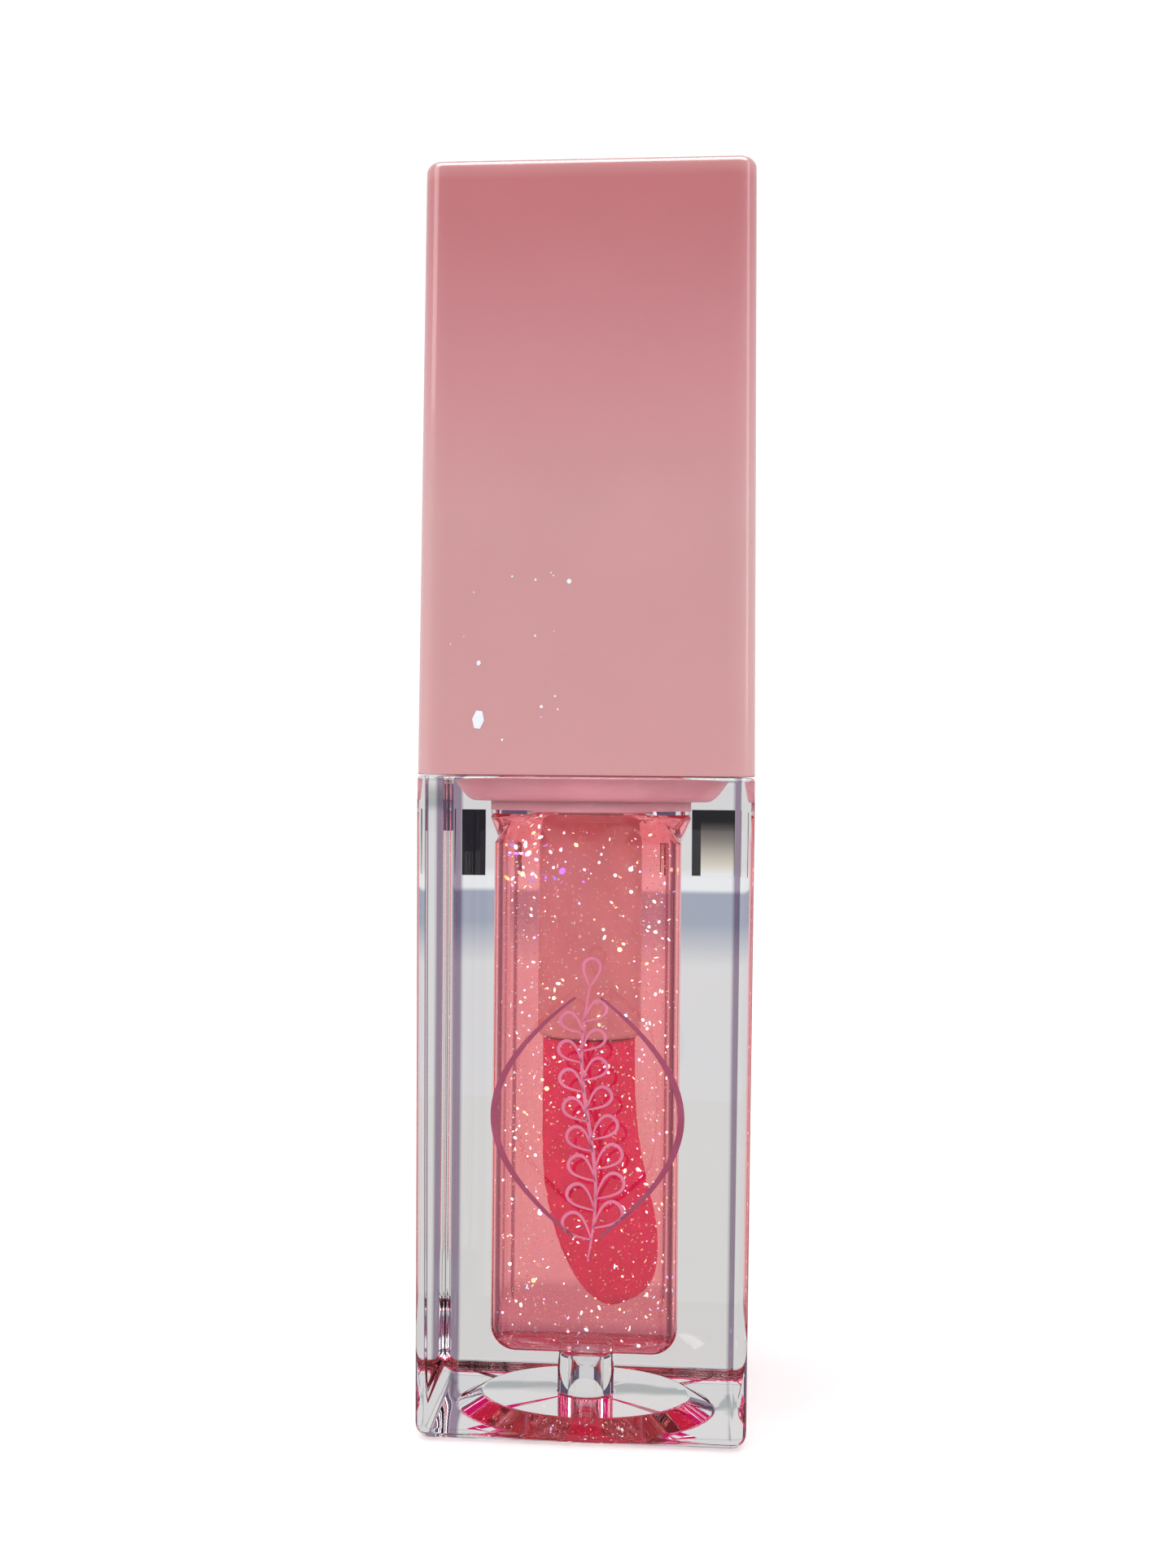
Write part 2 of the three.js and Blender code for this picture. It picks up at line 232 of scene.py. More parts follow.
def joined(*skins):
    vertices, faces = [], []
    for more_vertices, more_faces in skins:
        start = len(vertices)
        vertices += more_vertices
        faces += [tuple(start + i for i in face) for face in more_faces]
    return vertices, faces


def add_piece(name, made, look, body, replaces=None, smooth=True):
    """A piece from a skin in millimetres, on a CAD body, in place of a CAD node if one is named."""
    vertices, faces = made
    mesh = bpy.data.meshes.new(name)
    mesh.from_pydata([p * MM for p in vertices], [], faces)
    mesh.validate()
    mesh.polygons.foreach_set("use_smooth", [smooth] * len(mesh.polygons))
    mesh.materials.append(look)
    piece = bpy.data.objects.new(name, mesh)
    bpy.context.scene.collection.objects.link(piece)
    if smooth:
        crisp = piece.modifiers.new("flat faces stay flat", "WEIGHTED_NORMAL")
        crisp.weight = 90
    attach(piece, body)
    if replaces:
        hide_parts(replaces)
    return piece


def thread_height(bearing, z, start_z):
    """How far a thread's rib stands out at a point, from 0 to 1."""
    turn = (bearing % (2 * math.pi)) / (2 * math.pi)
    height = 0.0
    while turn <= THREAD_TURNS:
        run_out = min(1.0, turn * THREAD_RUN_OUT, (THREAD_TURNS - turn) * THREAD_RUN_OUT)
        from_middle = abs(z - start_z - THREAD_LEAD * turn)
        slope = (THREAD_ROOT_WIDTH - THREAD_CREST_WIDTH) / 2
        rise = min(1.0, max(0.0, (THREAD_ROOT_WIDTH / 2 - from_middle) / slope))
        height = max(height, rise * run_out)
        turn += 1
    return height


def threaded_loops(radius, depth, start_z, bearings):
    """Round loops up a wall, with a thread of that depth on it. A negative depth points inward."""
    margin, step = 0.1, 0.1
    low = start_z - THREAD_ROOT_WIDTH / 2 - margin
    high = low + THREAD_LEAD * THREAD_TURNS + THREAD_ROOT_WIDTH + 2 * margin
    count = round((high - low) / step)
    loops = []
    for i in range(count + 1):
        z = low + (high - low) * i / count
        loop = []
        for bearing in bearings:
            reach = radius + depth * thread_height(bearing, z, start_z)
            loop.append(Vector((reach * math.cos(bearing), reach * math.sin(bearing), z)))
        loops.append(loop)
    return loops


# ---------- Shapes: bottle side ----------


def body_half(z):
    return END_HALF + (JOINT_HALF - END_HALF) * z / SHOULDER_Z


def dish_profile():
    """The shoulder's round dish, from its rim down to the neck, as points of (radius, z)."""
    steps = 12
    profile = []
    for i in range(steps + 1):
        t = i / steps
        depth = DISH_DEPTH * math.sin(t * math.pi / 2)
        profile.append((DISH_RADIUS + (NECK_RADIUS - DISH_RADIUS) * t, SHOULDER_Z - depth))
    return profile


def rounds(profile):
    return [round_loop(radius, z, SQUARE_BEARINGS) for radius, z in profile]


def chamber_loops(grow=0.0):
    """Loops up the inside of the bottle, from the chamber's floor to the neck's round bore."""
    half, corner = CHAMBER_HALF + grow, CHAMBER_CORNER + grow
    floor = arc(half - corner, FLOOR_Z - grow + corner, corner, -90, 0, 8)
    loops = [square_loop(reach, max(corner - half + reach, 0.05), z) for reach, z in floor]
    steps = 8
    for i in range(steps + 1):
        share = i / steps
        z = CHAMBER_TOP + (BORE_Z - CHAMBER_TOP) * share
        below = square_loop(half, corner, z)
        above = round_loop(BORE_RADIUS + grow, z, SQUARE_BEARINGS)
        loops.append([a.lerp(b, share) for a, b in zip(below, above)])
    return loops


def bottle_shape():
    """The clear body: base, square sides, shoulder, threaded neck, then down inside to the floor."""
    edge = 0.12
    gate = [
        *arc(GATE_RADIUS - GATE_EDGE, GATE_TOP - GATE_EDGE, GATE_EDGE, 90, 0),
        *arc(GATE_RADIUS + edge, RECESS_DEPTH + edge, edge, 180, 270, 3),
    ]
    recess = [(RECESS_RADIUS - edge, RECESS_DEPTH), (RECESS_RADIUS + edge, RECESS_DEPTH - edge / 2)]
    recess += [(RECESS_RADIUS + RECESS_RIM - edge, edge / 2), (RECESS_RADIUS + RECESS_RIM + edge, 0)]
    base = []
    for inset, z in arc(BASE_EDGE, BASE_EDGE, BASE_EDGE, 270, 180):
        base.append(square_loop(body_half(z) - inset, max(BODY_CORNER - inset, 0.1), z))
    shoulder = []
    for inset, z in arc(SHOULDER_EDGE, SHOULDER_Z - SHOULDER_EDGE, SHOULDER_EDGE, 180, 90, 4):
        shoulder.append(square_loop(body_half(z) - inset, BODY_CORNER - inset, z))
    dish = dish_profile()
    neck = threaded_loops(NECK_RADIUS, THREAD_DEPTH, THREAD_START_Z, SQUARE_BEARINGS)
    rim = [
        *arc(NECK_RADIUS - NECK_EDGE, NECK_TOP - NECK_EDGE, NECK_EDGE, 0, 90, 4),
        (BORE_RADIUS + BORE_EDGE, NECK_TOP),
        (BORE_RADIUS, NECK_TOP - BORE_EDGE),
        (BORE_RADIUS, gloss_high.z + 1),
    ]
    return skin(
        [
            [Vector((0, 0, GATE_TOP))],
            *rounds(gate),
            *rounds(recess),
            *base,
            *shoulder,
            *rounds(dish),
            *neck,
            *rounds(rim),
            *reversed(chamber_loops()),
            [Vector((0, 0, FLOOR_Z))],
        ]
    )


def gloss_shape():
    """The fill. It wets the walls, so its skin lies a hair inside the plastic, and it climbs them."""
    outer, top = BORE_RADIUS + INTO_WALL, gloss_high.z - MENISCUS_RISE
    steps = 6
    meniscus = []
    for i in range(steps + 1):
        t = i / steps
        meniscus.append((outer - MENISCUS_WIDTH * t, top + MENISCUS_RISE * (1 - t) ** 2.4))
    rings = [(outer * share, top) for share in (0.8, 0.6, 0.4, 0.2)]
    return skin(
        [
            [Vector((0, 0, FLOOR_Z - INTO_WALL))],
            *chamber_loops(INTO_WALL),
            *rounds([*meniscus, *rings]),
            [Vector((0, 0, top))],
        ]
    )


def dish_film_shape():
    """Gloss that has crept over the shoulder. It wets the dish, so it lies a hair inside the plastic."""
    under = [(radius, z - INTO_WALL) for radius, z in dish_profile()]
    over = [(radius, z + FILM_THICKNESS) for radius, z in reversed(dish_profile()[:-1])]
    return turned([*under, *over], ring=True)


def wiper_shape():
    """Flange on the rim, barrel down the bore, and a cone inside that closes on the stem."""
    outer = BORE_RADIUS + INTO_WALL  # it is pressed into the bore
    inner = BORE_RADIUS - 0.9
    lip = STEM_RADIUS + 0.15
    low, high = wiper_low.z, wiper_high.z
    flange = NECK_RADIUS - 0.05
    seat = NECK_TOP + 0.05
    return turned(
        [
            (inner + 0.1, low),
            (outer - 0.15, low),
            (outer, low + 0.15),
            (outer, low + 5),
            (outer, seat),
            (flange - 0.1, seat),
            (flange, seat + 0.1),
            (flange, high - 0.2),
            (flange - 0.2, high),
            (inner + 0.3, high),
            (inner, high - 0.3),
            (inner, low + 4.2),
            (inner - 0.15, low + 3.95),
            (lip + 0.05, low + 1.2),
            (lip, low + 1.0),
            (lip, low + 0.6),
            (lip + 0.1, low + 0.5),
            (lip + 0.3, low + 0.6),
            (inner - 0.1, low + 3.1),
            (inner, low + 3.0),
            (inner, low + 0.1),
        ],
        ring=True,
    )


# ---------- Shapes: wand ----------


def washer_shape():
    inner, outer = STEM_RADIUS + 0.2, washer_high.x
    low, high = washer_low.z, washer_high.z
    edge = 0.15
    return turned(
        [
            (inner, low + edge),
            (inner + edge, low),
            (outer - edge, low),
            (outer, low + edge),
            (outer, high - edge),
            (outer - edge, high),
            (inner + edge, high),
            (inner, high - edge),
        ],
        ring=True,
    )


def stem_shape():
    """A rod with a hole in its foot for the core's spigot, and a plug on top for the insert."""
    foot, shelf, top = stem_low.z, ROOF_Z - 0.1, stem_high.z
    hole_edge, foot_edge, shelf_edge, plug_edge = 0.15, 0.3, 0.15, 0.4
    return turned(
        [
            (0, foot + SPIGOT_LENGTH),
            (SPIGOT_RADIUS, foot + SPIGOT_LENGTH),
            (SPIGOT_RADIUS, foot + hole_edge),
            (SPIGOT_RADIUS + hole_edge, foot),
            *arc(STEM_RADIUS - foot_edge, foot + foot_edge, foot_edge, -90, 0, 4),
            *arc(STEM_RADIUS - shelf_edge, shelf - shelf_edge, shelf_edge, 0, 90, 3),
            (PLUG_RADIUS, shelf),
            (PLUG_RADIUS, top - plug_edge),
            (PLUG_RADIUS - plug_edge, top),
            (0, top),
        ]
    )


# The paddle's reach to the left, right, front and back at a few levels, from the stem to the tip.
PADDLE_LEVELS = [
    (23.45, -2.95, 2.95, -2.75, 2.75),
    (18.8, -2.95, 3.05, -2.5, 2.7),
    (14.6, -2.85, 3.7, -1.95, 2.6),
    (11.2, -2.2, 4.55, -1.3, 2.35),
    (8.7, -1.2, 4.5, -0.7, 1.95),
    (7.1, -0.1, 3.6, -0.2, 1.5),
    (6.3, 1.0, 2.1, 0.35, 0.9),
]


def paddle_at(share):
    """The paddle's level and reaches at a share of its length, on a smooth curve through the levels."""
    last = len(PADDLE_LEVELS) - 1
    at = min(share * last, last - 1e-6)
    i = int(at)
    t = at - i
    rows = [PADDLE_LEVELS[min(max(i + k, 0), last)] for k in (-1, 0, 1, 2)]
    return [
        0.5
        * (2 * b + (c - a) * t + (2 * a - 5 * b + 4 * c - d) * t**2 + (3 * b - a - 3 * c + d) * t**3)
        for a, b, c, d in zip(*rows)
    ]


def flock_shape():
    """The paddle's velvety outside, slightly lumpy, over a cavity that holds its core."""
    rings, core_rings, points = 60, 20, 64

    def coat(grow, shares, lump):
        loops = []
        for share in shares:
            z, left, right, front, back = paddle_at(share)
            loop = []
            for j in range(points):
                angle = 2 * math.pi * j / points
                x = (left + right) / 2 + ((right - left) / 2 + grow) * math.cos(angle)
                y = (front + back) / 2 + ((back - front) / 2 + grow) * math.sin(angle)
                p = Vector((x, y, z))
                p += Vector((math.cos(angle), math.sin(angle), 0)) * lump * noise.noise(p * 2.2)
                loop.append(p)
            loops.append(loop)
        return loops

    core_shares = [CORE_SHARE * i / core_rings for i in range(core_rings + 1)]
    outside = coat(0.0, [1 - i / rings for i in range(rings + 1)], FLOCK_LUMP)
    inside = coat(-FLOCK_THICKNESS, core_shares, 0)
    level, left, right, front, back = paddle_at(1.0)
    pole = Vector(((left + right) / 2, (front + back) / 2, level - TIP_ROUND))
    hollow = Vector((inside[-1][0] + inside[-1][points // 2]) / 2)
    return skin([[pole], *outside, *inside, [hollow]])


# ---------- Shapes: cap ----------


def cap_half(z):
    return JOINT_HALF + (END_HALF - JOINT_HALF) * (z - cap_low.z) / (cap_high.z - cap_low.z)


def outer_cap_shape():
    """A hollow shell: from its ceiling down inside, round the rim, and up outside to its top."""
    low, high = cap_low.z, cap_high.z
    ceiling, edge, corner = high - CAP_ROOF, CAP_CEILING_EDGE, CAP_INNER_CORNER
    mouth, chamfer = cap_half(low) - CAP_WALL, 0.1
    inside = []
    for inset, z in arc(edge, ceiling - edge, edge, 90, 180, 4):
        inside.append(square_loop(cap_half(z) - CAP_WALL - inset, corner - inset, z))
    inside.append(square_loop(mouth, corner, low + chamfer))
    inside.append(square_loop(mouth + chamfer, corner + chamfer / 2, low))
    rim = []
    for inset, z in arc(CAP_RIM_EDGE, low + CAP_RIM_EDGE, CAP_RIM_EDGE, 270, 180, 3):
        rim.append(square_loop(cap_half(z) - inset, CAP_CORNER - inset, z))
    top = []
    for inset, z in arc(CAP_TOP_EDGE, high - CAP_TOP_EDGE, CAP_TOP_EDGE, 180, 90, 8):
        top.append(square_loop(cap_half(z) - inset, CAP_CORNER - inset, z))
    return skin([[Vector((0, 0, ceiling))], *inside, *rim, *top, [Vector((0, 0, high))]])


def box_shape(low, high, turn):
    """A block between two corners, turned about the Z axis."""
    rotate = Matrix.Rotation(turn, 3, "Z")
    loops = []
    for z in (low.z, high.z):
        corners = [(low.x, low.y), (high.x, low.y), (high.x, high.y), (low.x, high.y)]
        loops.append([rotate @ Vector((x, y, z)) for x, y in corners])
    middles = [[sum(loop, Vector()) / 4] for loop in loops]
    return skin([middles[0], *loops, middles[1]])


def insert_cup():
    """The round cup with its thread, and the socket on its lid that holds the stem's plug."""
    low = insert_low.z
    lid = ROOF_Z + INSERT_ROOF
    hole = PLUG_RADIUS + 0.05
    thread_start = THREAD_START_Z - THREAD_DROP
    wall = threaded_loops(CAP_THREAD_ROOT, -THREAD_DEPTH, thread_start, EVEN_BEARINGS)
    outside = [
        (hole, ROOF_Z),
        (hole, insert_high.z - 0.2),
        (hole + 0.2, insert_high.z),
        *arc(SOCKET_RADIUS - 0.3, insert_high.z - 0.3, 0.3, 90, 0, 3),
        *arc(SOCKET_RADIUS + 0.4, lid + 0.4, 0.4, 180, 270, 3),
        *arc(INSERT_RADIUS - 0.4, lid - 0.4, 0.4, 90, 0, 3),
        (INSERT_RADIUS, low + 0.1),
        (INSERT_RADIUS - 0.1, low),
        (CAP_THREAD_ROOT + 0.1, low),
        (CAP_THREAD_ROOT, low + 0.1),
    ]
    cup_loops = [round_loop(radius, z) for radius, z in outside]
    cup_loops += [*wall, round_loop(CAP_THREAD_ROOT, ROOF_Z - 0.3)]
    cup_loops.append(round_loop(CAP_THREAD_ROOT - 0.3, ROOF_Z))
    return skin(list(reversed(cup_loops)), ring=True)


def insert_plate():
    """The square plate round the cup's mouth, that fits the outer cap's inside."""
    half, low, high = insert_high.x, insert_low.z, insert_low.z + INSERT_PLATE
    bore, edge = CAP_THREAD_ROOT + 0.15, 0.15
    loops = [
        round_loop(bore, low, SQUARE_BEARINGS),
        square_loop(half - edge, 0.6, low),
        square_loop(half, 0.7, low + edge),
        square_loop(half, 0.7, high - edge),
        square_loop(half - edge, 0.6, high),
        round_loop(bore, high, SQUARE_BEARINGS),
    ]
    return skin(loops, ring=True)


def insert_fins():
    """Four fins that run from the cup towards the outer cap's corners."""
    low = Vector((CAP_THREAD_ROOT + 0.2, -FIN_THICKNESS / 2, insert_low.z + INSERT_PLATE / 2))
    high = Vector((FIN_REACH, FIN_THICKNESS / 2, ROOF_Z - INSERT_PLATE / 2))
    return [box_shape(low, high, (quarter + 0.5) * math.pi / 2) for quarter in range(4)]


def inner_cap_shape():
    return joined(insert_cup(), insert_plate(), *insert_fins())


# ---------- Shapes: glitter, print and specks ----------


def plate_shape(middle, across, away, radius, thickness, sides=6, stretch=1.0):
    """A thin flat flake: across and away are directions in and out of its plane."""
    along = away.cross(across)
    loops = []
    for side in (-0.5, 0.5):
        loop = []
        for j in range(sides):
            angle = 2 * math.pi * j / sides
            spoke = across * math.cos(angle) + along * math.sin(angle) * stretch
            loop.append(middle + spoke * radius + away * thickness * side)
        loops.append(loop)
    vertices = [*loops[0], *loops[1]]
    faces = [(j, (j + 1) % sides, sides + (j + 1) % sides, sides + j) for j in range(sides)]
    faces += [tuple(range(sides - 1, -1, -1)), tuple(range(sides, 2 * sides))]
    return vertices, faces


def swept_radius(z):
    """How far from the axis the wand reaches at a level while the cap turns and climbs."""
    clear = WAND_CLEARANCE
    reach = STEM_RADIUS + clear if z > stem_low.z - clear else 0.0
    steps = 40
    for i in range(steps + 1):
        level, left, right, front, back = paddle_at(i / steps)
        if level - clear < z < level + CAP_RISE + clear:
            reach = max(reach, -left + clear, right + clear, -front + clear, back + clear)
    return reach


def glitter_shape(
    count, smallest, largest, seed, low=FLOOR_Z + FLOOR_CLEARANCE, sides=6, crowd=0.0
):
    """Flakes all through the gloss above a level, clear of what the wand sweeps. One share of
    them (crowd) lies at the chamber's front left, and another right behind the front wall."""
    dice = random.Random(seed)
    flakes = []
    reach = CHAMBER_HALF - WALL_CLEARANCE
    step = 0.5
    swept = [swept_radius(step * i) for i in range(int(gloss_high.z / step) + 2)]
    while len(flakes) < count:
        x, y = dice.uniform(-reach, reach), dice.uniform(-reach, reach)
        if dice.random() < crowd:
            x, y = -reach + CROWD_WIDTH * dice.random() ** 1.5, -reach + CROWD_DEPTH * dice.random()
        elif dice.random() < FRONT_SHARE:
            x, y = dice.uniform(-FRONT_HALF, FRONT_HALF), -reach + FRONT_DEPTH * dice.random()
        middle = Vector((x, y, dice.uniform(low, gloss_high.z - SURFACE_CLEARANCE)))
        corner_reach = reach * CORNER_REACH if middle.z < CHAMBER_TOP else reach
        if not swept[round(middle.z / step)] < math.hypot(x, y) < corner_reach:
            continue
        away = Vector([dice.gauss(0, 1) for _ in range(3)]).normalized()
        across = away.orthogonal().normalized()
        size = smallest + (largest - smallest) * dice.random() ** 3
        flakes.append(plate_shape(middle, across, away, size, FLAKE_THICKNESS, sides))
    return joined(*flakes)


def front_y(z):
    return -body_half(z)


def ribbon_shape(points, width, thickness=0.02):
    """A printed line on the front face through points of (x, z). It thins towards both ends."""
    loops = []
    last = len(points) - 1
    for i, (x, z) in enumerate(points):
        before, after = points[max(i - 1, 0)], points[min(i + 1, last)]
        along = Vector((after[0] - before[0], after[1] - before[1])).normalized()
        wide = width * (0.4 + 0.6 * math.sin(math.pi * i / last))
        side = Vector((-along.y, along.x)) * wide / 2
        loop = []
        for way, depth in ((1, 0), (1, thickness), (-1, thickness), (-1, 0)):
            px, pz = x + side.x * way, z + side.y * way
            loop.append(Vector((px, front_y(pz) - PRINT_GAP - depth, pz)))
        loops.append(loop)
    ends = [[sum(loop, Vector()) / 4] for loop in (loops[0], loops[-1])]
    return skin([ends[0], *loops, ends[1]])


def petal_frame_shape():
    """Two bowed lines that almost meet in a point above and below."""
    lines = []
    steps = 48
    for way in (-1, 1):
        points = []
        for i in range(steps + 1):
            t = 0.03 + 0.94 * i / steps
            bow = FRAME_BOW * math.sin(math.pi * t) ** 0.85
            points.append((FRAME_X + way * bow, FRAME_TOP - FRAME_DROP * t))
        lines.append(ribbon_shape(points, FRAME_LINE))
    return joined(*lines)


def leaf_points(x, z, length, lean):
    """The outline of a small leaf that grows from a point, leaning by an angle from straight up."""
    points = []
    steps = 24
    for i in range(steps + 1):
        t = i / steps
        along = length * math.sin(math.pi * t)
        across = length * 0.3 * math.sin(2 * math.pi * t)
        points.append(
            (
                x + along * math.sin(lean) + across * math.cos(lean),
                z + along * math.cos(lean) - across * math.sin(lean),
            )
        )
    return points


def sprig_shape():
    """A sprig of leaves up the middle of the front."""

    span = SPRIG_HIGH - SPRIG_LOW

    def stalk_x(z):
        return FRAME_X + 0.1 + 0.45 * math.sin((z - SPRIG_LOW) / span * 2 * math.pi)

    def leaf(z, length, lean):
        return ribbon_shape(leaf_points(stalk_x(z), z, length, lean), SPRIG_LINE)

    steps = 60
    heights = [SPRIG_LOW + span * i / steps for i in range(steps + 1)]
    lines = [ribbon_shape([(stalk_x(z), z) for z in heights], SPRIG_LINE * 1.1)]
    for pair in range(SPRIG_PAIRS):
        z = SPRIG_LOW + span * (0.1 + 0.86 * pair / SPRIG_PAIRS)
        for way in (-1, 1):
            length = LEAF_LENGTH - LEAF_SHRINK * pair
            lines.append(leaf(z + LEAF_STAGGER * way, length, way * LEAF_LEAN))
    lines.append(leaf(SPRIG_HIGH, 1.7, 0.1))
    return joined(*lines)


def cap_flecks_shape():
    """A chip and a few specks of dried glitter on the cap's front."""
    dice = random.Random(5)
    flecks = [  # of (x, height, radius, stretch)
        (-6.4, 43.5, 0.36, 1.7),
        (-1.0, 51.8, 0.15, 1.0),
        (-6.4, 46.9, 0.13, 1.3),
        (-2.6, 44.3, 0.10, 1.0),
    ]
    for _ in range(14):
        height = 42.0 + 10.5 * dice.random()
        flecks.append((dice.uniform(-8.2, -1.2), height, 0.03 + 0.04 * dice.random(), 1.2))
    plates = []
    for x, z, size, stretch in flecks:
        tilt = math.radians(dice.uniform(-25, 25))
        across = Vector((math.cos(tilt), 0, math.sin(tilt)))
        middle = Vector((x, -cap_half(z), z))
        plates.append(plate_shape(middle, across, Vector((0, -1, 0)), size, 0.014, 6, stretch))
    return joined(*plates)


# ---------- Materials ----------


def new_look(name):
    look = bpy.data.materials.new(name)
    look.use_nodes = True
    return look, look.node_tree, look.node_tree.nodes["Principled BSDF"]


def noise_value(tree, scale, detail=3.0, stretch=(1, 1, 1)):
    """Noise in the piece's own space. The scale is in lumps per metre."""
    place = tree.nodes.new("ShaderNodeTexCoord")
    mapping = tree.nodes.new("ShaderNodeMapping")
    mapping.inputs["Scale"].default_value = stretch
    texture = tree.nodes.new("ShaderNodeTexNoise")
    texture.inputs["Scale"].default_value = scale
    texture.inputs["Detail"].default_value = detail
    tree.links.new(place.outputs["Object"], mapping.inputs["Vector"])
    tree.links.new(mapping.outputs["Vector"], texture.inputs["Vector"])
    return texture.outputs["Fac"]


def ramp(tree, value, stops):
    """A colour or grey that follows a value through stops of (position, colour)."""
    node = tree.nodes.new("ShaderNodeValToRGB")
    while len(node.color_ramp.elements) < len(stops):
        node.color_ramp.elements.new(0.5)
    for element, (position, colour) in zip(node.color_ramp.elements, stops):
        element.position = position
        element.color = opaque(colour)
    tree.links.new(value, node.inputs["Fac"])
    return node.outputs["Color"]


def add_bump(tree, shader, value, height, strength=1.0):
    """Bump from a value. The height is in millimetres."""
    bump = tree.nodes.new("ShaderNodeBump")
    bump.inputs["Strength"].default_value = strength
    bump.inputs["Distance"].default_value = height * MM
    tree.links.new(value, bump.inputs["Height"])
    tree.links.new(bump.outputs["Normal"], shader.inputs["Normal"])


def set_inputs(shader, **values):
    """Uniform values on a shader's own sockets. A name's underscores stand for spaces."""
    for name, value in values.items():
        shader.inputs[name.replace("_", " ")].default_value = value


def grey(value):
    return (value,) * 3


def opaque(colour):
    return (*colour, 1)


def mixed(tree, factor, low, high):
    """One of two colours or sockets, by a factor of 0 or 1."""
    mix = tree.nodes.new("ShaderNodeMix")
    mix.data_type = "RGBA"
    for socket, value in ((mix.inputs[6], low), (mix.inputs[7], high)):
        if isinstance(value, bpy.types.NodeSocket):
            tree.links.new(value, socket)
        else:
            socket.default_value = opaque(value)
    tree.links.new(factor, mix.inputs[0])
    return mix.outputs[2]


def multiplied(tree, first, second):
    mix = tree.nodes.new("ShaderNodeMix")
    mix.data_type = "RGBA"
    mix.blend_type = "MULTIPLY"
    mix.inputs["Factor"].default_value = 1.0
    tree.links.new(first, mix.inputs[6])
    tree.links.new(second, mix.inputs[7])
    return mix.outputs[2]


def math_value(tree, operation, *values):
    node = tree.nodes.new("ShaderNodeMath")
    node.operation = operation
    for socket, value in zip(node.inputs, values):
        if isinstance(value, bpy.types.NodeSocket):
            tree.links.new(value, socket)
        else:
            socket.default_value = value
    return node.outputs[0]


def coordinates(tree, space="Object"):
    """The X, Y and Z of a point in the piece's own space, or of a ray's direction in the world."""
    place = tree.nodes.new("ShaderNodeTexCoord")
    parts = tree.nodes.new("ShaderNodeSeparateXYZ")
    tree.links.new(place.outputs[space], parts.inputs["Vector"])
    return parts.outputs


def corner_value(tree, half, corner, taper=0.0):
    """0 on the flat sides of a square block, rising to 1 round its four upright corners."""
    point = coordinates(tree)
    across = math_value(tree, "ABSOLUTE", point["X"])
    along = math_value(tree, "ABSOLUTE", point["Y"])
    nearer = math_value(tree, "MINIMUM", across, along)
    side = math_value(tree, "MULTIPLY_ADD", point["Z"], taper, (half - corner) * MM)
    past = math_value(tree, "SUBTRACT", nearer, side)
    return math_value(tree, "DIVIDE", past, corner * MM * 0.7)


def height_share(tree, low, high):
    """How far up between two levels a point of the piece lies, from 0 to 1."""
    level = tree.nodes.new("ShaderNodeMapRange")
    set_inputs(level, From_Min=low * MM, From_Max=high * MM)
    tree.links.new(coordinates(tree)["Z"], level.inputs["Value"])
    return level.outputs["Result"]


def clear_plastic():
    """Clear, with a painted dark mauve shade where light is lost in the corners at the far side."""
    look, tree, shader = new_look("clear plastic")
    set_inputs(shader, Roughness=0.0, IOR=1.57, Transmission_Weight=1.0)
    cloud = noise_value(tree, 120, 2.0)
    tint = ramp(tree, cloud, [(0.3, (0.93, 0.945, 0.96)), (0.7, (0.96, 0.965, 0.97))])
    taper = (JOINT_HALF - END_HALF) / SHOULDER_Z
    corner = corner_value(tree, END_HALF, BODY_CORNER * 1.1, taper)
    face = tree.nodes.new("ShaderNodeNewGeometry")
    # painted shade: the far upright corners, met by rays from within, darken to dark mauve
    shaded_far_corners = math_value(tree, "MULTIPLY", corner, face.outputs["Backfacing"])
    painted_corner_shading = ramp(tree, shaded_far_corners, [(0.0, grey(1.0)), (0.3, (0.16, 0.11, 0.19))])
    tree.links.new(multiplied(tree, tint, painted_corner_shading), shader.inputs["Base Color"])
    add_bump(tree, shader, noise_value(tree, 300, 1.0, (1, 1, 0.15)), 0.006)
    return look


def gloss_fill():
    """Pink and clear, with a faint painted red glow. Painted shade makes it greyish mauve in a band
    above the floor, a deeper red at the top, and dark round the chamber's upright corners."""
    look, tree, shader = new_look("pink gloss")
    set_inputs(
        shader,
        Roughness=0.0,
        IOR=1.47,
        Transmission_Weight=0.995,
        # painted glow: a faint red emission, though the gloss is no lamp
        Emission_Color=(1.0, 0.06, 0.10, 1),
        Emission_Strength=0.085,
    )
    cloud = noise_value(tree, 180, 2.0)
    tint = ramp(tree, cloud, [(0.3, (0.99, 0.56, 0.57)), (0.7, (1.0, 0.62, 0.63))])
    # painted shade: greyish mauve in a band above the floor, deeper red at the top
    floor_band_shade, plain, top_shade = (0.48, 0.36, 0.45), grey(1.0), (1.0, 0.70, 0.72)
    level = height_share(tree, FLOOR_Z, gloss_high.z)
    depth = ramp(tree, level, [(0.05, floor_band_shade), (0.07, plain), (0.90, plain), (0.97, top_shade)])
    # painted shade: dark round the chamber's upright corners
    corner = corner_value(tree, CHAMBER_HALF, CHAMBER_CORNER)
    painted_corner_shading = ramp(tree, corner, [(0.8, plain), (0.92, (0.12, 0.06, 0.12))])
    shaded = multiplied(tree, multiplied(tree, tint, depth), painted_corner_shading)
    tree.links.new(shaded, shader.inputs["Base Color"])
    fog = tree.nodes.new("ShaderNodeVolumeAbsorption")
    set_inputs(fog, Color=(0.99, 0.34, 0.39, 1), Density=60.0)
    output = tree.nodes["Material Output"]
    tree.links.new(fog.outputs["Volume"], output.inputs["Volume"])
    return look


